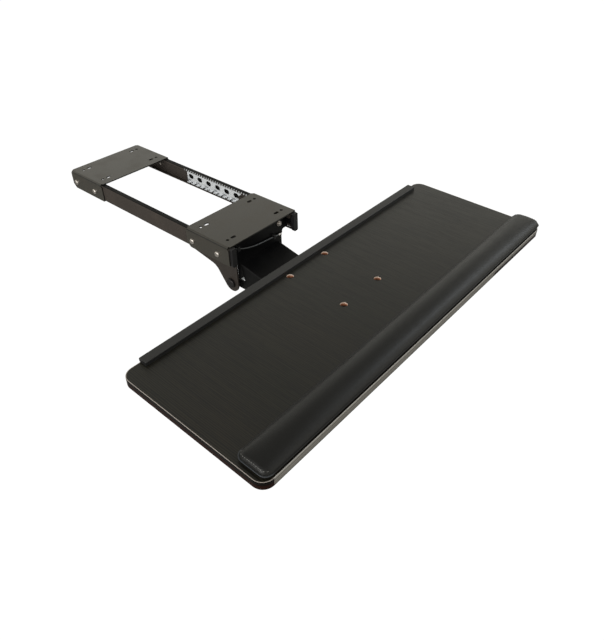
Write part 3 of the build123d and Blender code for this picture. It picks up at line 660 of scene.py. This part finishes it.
# %% [markdown]
# ## Raw fibreboard
# The core shows only in the four counterbores, where a drill has left it bare: pale at the rim, where
# light falls in, and browner further down. Light alone would give some of that, but a bore of 11 mm is
# a few pixels wide, so the tint is made to follow the height as well.

# %% Fibreboard
BORE_DEPTH_SHADE = (-8.5, -1.5)
BORE_RIM_SHADE = (-3.6, -1.4)


def fibreboard(bench):
    fibres = noise(bench, coordinates(bench), 1500, detail=4, roughness=0.7)
    height = board_height(bench)
    raised = step(bench, height, *BORE_DEPTH_SHADE)
    rim = step(bench, height, *BORE_RIM_SHADE)
    wood = mix(bench, raised, paint(150, 92, 62), paint(222, 158, 122))
    pale = mix(bench, rim, wood, paint(255, 240, 226))
    return {
        "Base Color": mix(bench, fibres * 0.4, pale, paint(120, 70, 46)),
        "Roughness": fibres * 0.1 + 0.8,
        "height": fibres,
        "depth": 0.25 * MM,
    }


board_core = finish("board_core", fibreboard)
dress(board_core, "board_core")

# %% [markdown]
# ## Edge bands
# A plastic band is glued round the board and trimmed. The sides carry a glossy red-brown one that is
# black above its middle, and the front a light grey one, lightened as a painted reflection of the pale
# floor, that is browner low down at its right end. Along the top arris both are trimmed to a pale line.
# Both are painted darker at their foot as painted shade, and both cross a dark line, which on the front
# is painted shade under the pad. All this goes by height on the board, so one function makes both
# bands from their tints.

# %% Bands
BAND_MIDDLE = (-6.4, -4.6)
FOOT_SHADE = (-10.4, -11.4)
DARK_LINE_HEIGHT = -3.4
DARK_LINE_SPREAD = (1.0, 0.5)
TRIMMED_TOP = (-0.22, -0.06)
END_TINT_SPAN = (163 * MM, 172 * MM)


def edge_band(lower, upper, arris, end_tint):
    """A glossy band whose tint changes with height and whose lower tint, towards its right end, changes
    to another one.
    """
    def make(bench):
        height = board_height(bench)
        drift = noise(bench, stretched(bench, (0.3, 0.3, 1)), 60, detail=3)
        dark_line = step(bench, abs(height - DARK_LINE_HEIGHT), *DARK_LINE_SPREAD)
        toward_end = step(bench, place_along(bench, "X"), *END_TINT_SPAN)
        trimmed = step(bench, height, *TRIMMED_TOP)
        band = mix(bench, toward_end, lower, end_tint)
        band = mix(bench, step(bench, height, *BAND_MIDDLE), band, upper)
        # painted shade at the band's foot
        band = mix(bench, step(bench, height, *FOOT_SHADE), band, paint(20, 17, 16))
        # a dark line across the band; on the front band it is painted shade under the pad
        band = mix(bench, dark_line * 0.6, band, paint(34, 30, 29))
        band = mix(bench, drift * 0.35, band, paint(26, 20, 18))
        return {
            "Base Color": mix(bench, trimmed, band, arris),
            "Roughness": trimmed * 0.25 + drift * 0.12 + 0.14,
            "height": noise(bench, stretched(bench, (0.1, 0.1, 1)), 2200, detail=2),
            "depth": 0.03 * MM,
            "height_strength": 0.5,
        }
    return make


red_brown = paint(38, 17, 12)
side_look = edge_band(red_brown, paint(3, 2, 2), paint(172, 164, 158), red_brown)
# the front band's light grey tints are lightened as a painted reflection of the pale floor
front_tints_and_reflection = paint(140, 136, 130), paint(162, 158, 152), paint(205, 201, 196), paint(42, 30, 30)
front_look = edge_band(*front_tints_and_reflection)
side_band = finish("side_edge_band", side_look, Specular_IOR_Level=0.04)
front_band = finish("front_edge_band", front_look, Specular_IOR_Level=0.03)
dress(side_band, "side_edge_band")
dress(front_band, "front_edge_band")

# %% [markdown]
# ## The stop bar
# The bar keeps a keyboard from sliding off the rear. It is an extruded plastic strip, so its fine
# lines run along its length: noise stretched along X gives them, and slow clouds dull it in places.


# %% Stop bar
def bar_plastic(bench):
    drawn = noise(bench, stretched(bench, (0.02, 1, 1)), 1800, detail=3)
    clouds = noise(bench, stretched(bench, (0.3, 1, 1)), 30, detail=3)
    return {
        "Base Color": mix(bench, clouds * 0.7 + drawn * 0.3, paint(8, 8, 8), paint(18, 17, 18)),
        "Roughness": clouds * 0.14 + drawn * 0.1 + 0.36,
        "height": drawn,
        "depth": 0.04 * MM,
        "height_strength": 0.6,
    }


stop_bar = finish("bar", bar_plastic, Specular_IOR_Level=0.7)
dress(stop_bar, "stop_bar")

# %% [markdown]
# ## The palm rest
# The palm rest is foam under black leatherette, sewn at its ends. It is one closed skin: a slab with
# rounded corners that is cut into even strips, then blown up a little by a cloth simulation with its
# underside pinned, so that its fullness and its drawn-in corners come from pressure, as in a real pad.
# Its sizes are in millimetres on the board's axes: X to the right, v from the rear edge, z upwards.

# %% Sizes of the pad
PALM_LENGTH, PALM_DEPTH, PALM_CORNER = 655.0, 47.2, 11.0
PALM_X, PALM_V = 3.0, -215.1
PAD_LOW, PAD_START_HIGH = 4.3, 13.4
PAD_INSET = 0.8
PAD_SHOULDER = 8.0
LEVEL = 0.01


def rise(edge):
    """How far an edge climbs. Less than LEVEL is none."""
    return abs(edge.verts[0].co.z - edge.verts[1].co.z)


def round_off(made, edges, offset, steps):
    """Round edges with a bevel."""
    bmesh.ops.bevel(
        made, geom=edges, offset=offset, segments=steps, profile=0.5, affect="EDGES", material=-1
    )


def slab(length, depth, corner, low, high, steps):
    """A closed slab with rounded corners, in millimetres on the board's axes."""
    made = bmesh.new()
    bmesh.ops.create_cube(made, size=1)
    bmesh.ops.scale(made, vec=(length, depth, high - low), verts=made.verts)
    bmesh.ops.translate(made, vec=(PALM_X, PALM_V, (high + low) / 2), verts=made.verts)
    round_off(made, [e for e in made.edges if rise(e) > LEVEL], corner, steps)
    return made


def as_object(made, name, body, matrix=board_matrix):
    """A mesh in millimetres as an object at the origin, its place in the mesh, that rides on a body."""
    bmesh.ops.transform(made, matrix=matrix @ Matrix.Scale(MM, 4), verts=made.verts)
    mesh = bpy.data.meshes.new(name)
    made.to_mesh(mesh)
    made.free()
    mesh.shade_smooth()
    made_object = bpy.data.objects.new(name, mesh)
    bpy.context.scene.collection.objects.link(made_object)
    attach(made_object, body)
    return made_object


print("pad", PALM_LENGTH, "x", PALM_DEPTH, "mm")

# %% The pad's skin: round the shoulders, then cut it into even strips
STRIP_COUNT = 128
CUT_SHARES = (-1, -0.6, -0.2, 0.2, 0.6, 1)
CUT_REACH = 0.0001


def cut_across(made, places, normal):
    """Cut the whole mesh at several places along one axis."""
    for place in places:
        geometry = made.verts[:] + made.edges[:] + made.faces[:]
        point = Vector(normal) * place
        bmesh.ops.bisect_plane(made, geom=geometry, dist=CUT_REACH, plane_co=point, plane_no=normal)


skin_length, skin_depth = PALM_LENGTH - 2 * PAD_INSET, PALM_DEPTH - 2 * PAD_INSET
skin_corner = PALM_CORNER - PAD_INSET
bm = slab(skin_length, skin_depth, skin_corner, PAD_LOW, PAD_START_HIGH, steps=6)
top_rim = [e for e in bm.edges if all(abs(v.co.z - PAD_START_HIGH) < LEVEL for v in e.verts)]
round_off(bm, top_rim, PAD_SHOULDER, steps=6)
straight = PALM_LENGTH / 2 - PALM_CORNER
strips = [PALM_X - straight + 2 * straight * i / STRIP_COUNT for i in range(STRIP_COUNT + 1)]
cut_across(bm, strips, (1, 0, 0))
reach = PALM_DEPTH / 2 - PALM_CORNER
cut_across(bm, [PALM_V + reach * share for share in CUT_SHARES], (0, 1, 0))
bmesh.ops.triangulate(bm, faces=[f for f in bm.faces if len(f.verts) > 4])
palm_cushion = as_object(bm, "palm_cushion", "tray")
print("pad skin:", len(palm_cushion.data.polygons), "faces before the simulation")

# %% Pressure inside a pinned skin
PRESSURE = 3.5
STIFFNESS = 40
BENDING_STIFFNESS = 2
SOLVER_STEPS = 6
PINNED_HEIGHT = 0.4


def put_under_pressure(pad):
    """Pin the underside of a skin, and add the Cloth modifier that will blow up the rest."""
    limit = PAD_LOW * MM + PINNED_HEIGHT * MM
    low = [v.index for v in pad.data.vertices if (to_board @ v.co).z < limit]
    pinned = pad.vertex_groups.new(name="underside")
    pinned.add(low, 1.0, "REPLACE")
    cloth = pad.modifiers.new("pressure", "CLOTH")
    cloth.settings.use_pressure = True
    cloth.settings.uniform_pressure_force = PRESSURE
    cloth.settings.vertex_group_mass = "underside"
    cloth.settings.quality = SOLVER_STEPS
    cloth.settings.tension_stiffness = STIFFNESS
    cloth.settings.compression_stiffness = STIFFNESS
    cloth.settings.bending_stiffness = BENDING_STIFFNESS
    cloth.settings.effector_weights.gravity = 0
    return cloth, pinned


print("pinned up to", PINNED_HEIGHT, "mm over the pad's foot")

# %% Blow the pad up
SWELL_FRAMES = 20
SWELL_LIMIT = 3.2 * MM


def blow_up(pad):
    """Run the simulation and keep its result, with no point moved further than the limit."""
    start = [v.co.copy() for v in pad.data.vertices]
    cloth, pinned = put_under_pressure(pad)
    scene = bpy.context.scene
    for frame_number in range(1, SWELL_FRAMES + 1):
        scene.frame_set(frame_number)
    evaluated = pad.evaluated_get(bpy.context.evaluated_depsgraph_get())
    swollen = [v.co.copy() for v in evaluated.data.vertices]
    pad.modifiers.remove(cloth)
    pad.vertex_groups.remove(pinned)
    scene.frame_set(1)
    for vertex, first, last in zip(pad.data.vertices, start, swollen):
        move = last - first
        if move.length > SWELL_LIMIT:
            move *= SWELL_LIMIT / move.length
        vertex.co = first + move


blow_up(palm_cushion)
top = max((to_board @ v.co).z for v in palm_cushion.data.vertices) / MM
print("pad's crown at", round(top, 2), "mm over the board")

# %% [markdown] ## Ease the skin Pressure alone leaves the top too flat and the rim a little wrinkled.
# The foam under a real cover is cut with a crown, so the skin is let down towards its long edges by a
# power of the distance, then smoothed twice.

CROWN_FALL, CROWN_POWER = 0.42, 2.2
EASE_TURNS = 2
EASE_ABOVE = 2
EASE = {"factor": 0.4, "use_axis_x": True, "use_axis_y": True, "use_axis_z": True}
bm = bmesh.new()
bm.from_mesh(palm_cushion.data)
for vertex in bm.verts:
    place = to_board @ vertex.co / MM
    if place.z > PAD_LOW:
        share = min(1.0, abs(place.y - PALM_V) / (PALM_DEPTH / 2))
        place.z = PAD_LOW + (place.z - PAD_LOW) * (1 - CROWN_FALL * share ** CROWN_POWER)
        vertex.co = board_matrix @ (place * MM)
for _ in range(EASE_TURNS):
    upper = [v for v in bm.verts if (to_board @ v.co).z > (PAD_LOW + EASE_ABOVE) * MM]
    bmesh.ops.smooth_vert(bm, verts=upper, **EASE)
bmesh.ops.recalc_face_normals(bm, faces=bm.faces)
bm.to_mesh(palm_cushion.data)
bm.free()
rounding = palm_cushion.modifiers.new("rounding", "SUBSURF")
rounding.levels = 1
rounding.render_levels = 1
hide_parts("palm_pad")
print("pad:", len(palm_cushion.data.polygons), "faces")

# %% [markdown]
# ## Leatherette
# Leatherette is a thin film with a pressed pebble grain. Voronoi cells give the pebbles: the distance
# to a cell's edge is low in the creases and high on the pebble. A finer noise breaks the pebbles up,
# and slow noise makes the gloss uneven, as hands polish such a rest.


# %% Leatherette
def leather_grain(bench):
    at = coordinates(bench)
    pebbles = cells(bench, at, 850, feature="DISTANCE_TO_EDGE")
    crease = step(bench, pebbles, 0.02, 0.16)
    fine = noise(bench, at, 3000, detail=2)
    slow = noise(bench, at, 16, detail=3)
    pebble_tint = mix(bench, slow, paint(7, 7, 6), paint(11, 11, 10))
    return {
        "Base Color": mix(bench, crease, paint(6, 6, 5), pebble_tint),
        "Roughness": slow * 0.1 - crease * 0.08 + fine * 0.06 + 0.36,
        "height": crease * 0.7 + fine * 0.3,
        "depth": 0.07 * MM,
        "height_strength": 0.7,
    }


leatherette = finish("leatherette", leather_grain, Specular_IOR_Level=0.4)
palm_cushion.data.materials.append(leatherette)

# %% [markdown]
# ## The folded lip under the pad
# The cover is folded under the foam and pressed to a thin lip, which shows as a light outline at the
# pad's ends. It is a thin slab with the same rounded outline, a little larger than the pad's foot,
# with both rims bevelled round. Its ends are painted paler and bluer than its long sides, as a painted
# highlight on the lit rim.

# %% Lip
LIP_OUT = 0.2
LIP_LOW, LIP_HIGH = 4.05, 5.5
LIP_ROUND = 0.6
HIGHLIGHT_END = (312 * MM, 320 * MM)
lip_length, lip_depth = PALM_LENGTH + LIP_OUT, PALM_DEPTH + LIP_OUT
bm = slab(lip_length, lip_depth, PALM_CORNER, LIP_LOW, LIP_HIGH, steps=8)
round_off(bm, [e for e in bm.edges if rise(e) < LEVEL], LIP_ROUND, steps=3)
palm_lip = as_object(bm, "palm_lip", "tray")


def lip_highlight(bench):
    fine = noise(bench, coordinates(bench), 1200, detail=2)
    # painted highlight: the lip's ends are paler and bluer than its long sides
    end = step(bench, abs(place_along(bench, "X") - PALM_X * MM), *HIGHLIGHT_END)
    highlight_tint = mix(bench, fine, paint(34, 37, 41), paint(58, 62, 67))
    return {
        "Base Color": mix(bench, end, paint(7, 7, 7), highlight_tint),
        "Roughness": fine * 0.2 + 0.4 - end * 0.1,
    }


palm_lip.data.materials.append(finish("lip_highlight", lip_highlight))
print("lip:", len(palm_lip.data.polygons), "faces")

# %% [markdown]
# ## Stitches
# A row of stitches closes the cover at each end. They could be painted on, but a thread that stands up
# catches light. Each stitch is a short bar that lies on the skin, so its place is found by looking
# straight down on the pad with a ray, and its turn follows the row.

# %% One stitch and the skin it lies on
STITCH_LENGTH, STITCH_THICK = 2.0, 0.44


def add_stitch(made, matrix):
    """A short six-sided bar of thread along X, put in place."""
    thick = STITCH_THICK / 2
    bar = bmesh.ops.create_cone(
        made, cap_ends=True, segments=6, radius1=thick, radius2=thick, depth=STITCH_LENGTH
    )
    laid = Matrix.Rotation(math.radians(90), 3, "Y")
    bmesh.ops.rotate(made, verts=bar["verts"], matrix=laid)
    bmesh.ops.transform(made, matrix=matrix, verts=bar["verts"])


def skin_tree(pad):
    """What a ray can hit: the pad with its modifier, on the board's axes in millimetres."""
    evaluated = pad.evaluated_get(bpy.context.evaluated_depsgraph_get())
    copy = bmesh.new()
    copy.from_mesh(evaluated.to_mesh())
    bmesh.ops.transform(copy, matrix=Matrix.Scale(1 / MM, 4) @ to_board, verts=copy.verts)
    return BVHTree.FromBMesh(copy)


skin = skin_tree(palm_cushion)
print("one stitch is", STITCH_LENGTH, "mm long")

# %% Where the stitches go
STITCH_PITCH = 3.1
STITCH_INSET = 3.2
CORNER_SHARES = (0.15, 0.5, 0.85)


def end_row(side, inset):
    """Points of a stitch row inside one rounded end, from rear to front."""
    half_length, half_depth = PALM_LENGTH / 2 - inset, PALM_DEPTH / 2 - inset
    corner = PALM_CORNER - inset
    points = []
    for sign in (1, -1):
        for share in CORNER_SHARES[::sign]:
            angle = math.radians(90 * (1 - share))
            x = half_length - corner + corner * math.cos(angle)
            v = PALM_V + sign * (half_depth - corner + corner * math.sin(angle))
            points.append(Vector((PALM_X + side * x, v, 0)))
    return points


def along_points(points, pitch):
    """Places and directions at an even pitch along straight runs between points."""
    found = []
    for start, end in zip(points, points[1:]):
        run = end - start
        count = max(1, round(run.length / pitch))
        for index in range(count):
            found.append((start + run * ((index + 0.5) / count), run.normalized()))
    return found


rows = [along_points(end_row(side, STITCH_INSET), STITCH_PITCH) for side in (-1, 1)]
print("stitch places:", [len(row) for row in rows])

# %% Rows of stitches at both ends
EYE_HEIGHT = 40
STITCH_LIFT = 0.12
DOWN = Vector((0, 0, -1))
bm = bmesh.new()
stitch_count = 0
for place, direction in rows[0] + rows[1]:
    hit, normal = skin.ray_cast(Vector((place.x, place.y, EYE_HEIGHT)), DOWN)[:2]
    if hit is None:
        continue
    along = (direction - normal * direction.dot(normal)).normalized()
    turn = Matrix((along, normal.cross(along), normal)).transposed().to_4x4()
    add_stitch(bm, Matrix.Translation(hit + normal * STITCH_LIFT) @ turn)
    stitch_count += 1
palm_stitches = as_object(bm, "palm_stitches", "tray")
print("stitches:", stitch_count)

# %% [markdown]
# ## Thread
# The thread is taken as spun polyester, greyer than the cover and without its gloss. A real one is
# twisted from plies that are far finer than a pixel here, so fine noise and a little sheen stand in.


# %% Thread
def thread(bench):
    ply = noise(bench, coordinates(bench), 5000, detail=2)
    return {
        "Base Color": mix(bench, ply, paint(104, 104, 102), paint(146, 145, 140)),
        "Roughness": ply * 0.2 + 0.6,
        "height": ply,
        "depth": 0.05 * MM,
    }


palm_stitches.data.materials.append(finish("thread", thread, Sheen_Weight=0.2))

# %% [markdown]
# ## A dark sheet inside the front bracket
# A thin sheet with eased edges and near-black paint lies under the two holes nearest the tray, between
# the arms, and rides on the carriage. It is painted shade: it makes those holes show dark.

# %% Shade sheet
SHEET_LEFT, SHEET_RIGHT = -50.4, 50.4
SHEET_FRONT, SHEET_REAR = -36.2, 14.0
SHEET_LOW, SHEET_HIGH = -31.5, -29.5
SHEET_EASE = 0.4
sheet_size = (SHEET_RIGHT - SHEET_LEFT, SHEET_REAR - SHEET_FRONT, SHEET_HIGH - SHEET_LOW)
middle = ((SHEET_LEFT + SHEET_RIGHT) / 2, (SHEET_FRONT + SHEET_REAR) / 2, (SHEET_LOW + SHEET_HIGH) / 2)
bm = bmesh.new()
bmesh.ops.create_cube(bm, size=1)
bmesh.ops.scale(bm, vec=sheet_size, verts=bm.verts)
bmesh.ops.translate(bm, vec=middle, verts=bm.verts)
round_off(bm, bm.edges[:], SHEET_EASE, steps=2)
shade_sheet = as_object(bm, "carriage_shade_sheet", "carriage", matrix=Matrix.Identity(4))
# painted shade: the sheet takes the near-black paint so the holes above it show dark
shade_sheet.data.materials.append(link_paint)
print("shelf:", len(shade_sheet.data.polygons), "faces")

# %% [markdown] A dressed model should be as large as the CAD model that it dresses.
